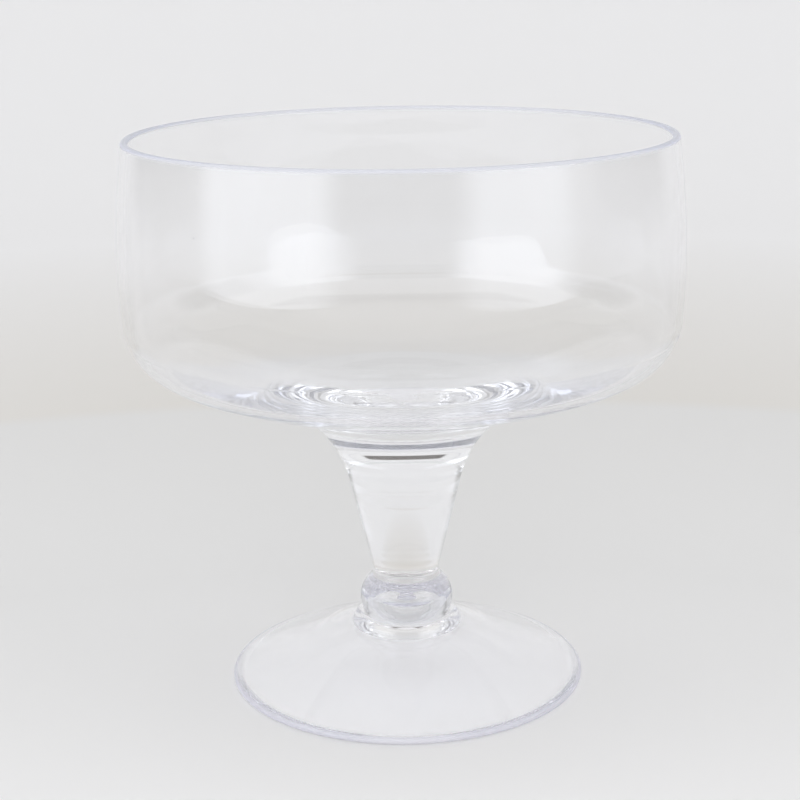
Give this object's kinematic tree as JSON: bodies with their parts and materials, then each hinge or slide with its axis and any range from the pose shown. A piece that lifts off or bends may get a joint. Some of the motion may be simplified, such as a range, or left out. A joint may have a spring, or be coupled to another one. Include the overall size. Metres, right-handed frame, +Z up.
{
  "type": "footed glass trifle bowl",
  "caption": "Clear glass trifle bowl with upright walls and a rounded floor, on a short tapered stem with a ball knop, a collar and a wide conical foot.",
  "frame": {"origin": "centre of the ring that the foot stands on, on the table", "axes": "+Z up along the axis of the bowl, stem and foot; the object is round, so X and Y are any two directions square to it"},
  "size_m": [0.2048, 0.2048, 0.206],
  "materials": {
    "bowl_glass": "clear blown glass, fire polished, faint blue tint at the edges",
    "stem_glass": "clear solid glass with faint turned lines",
    "knop_glass": "clear solid glass with turned tool lines",
    "collar_glass": "clear solid glass, fire polished",
    "foot_glass": "clear glass, smooth, faint blue tint at the edge"
  },
  "bodies": {
    "root": {"foot": "foot_glass", "collar": "collar_glass", "knop": "knop_glass", "stem": "stem_glass", "bowl": "bowl_glass"}
  },
  "joints": []
}
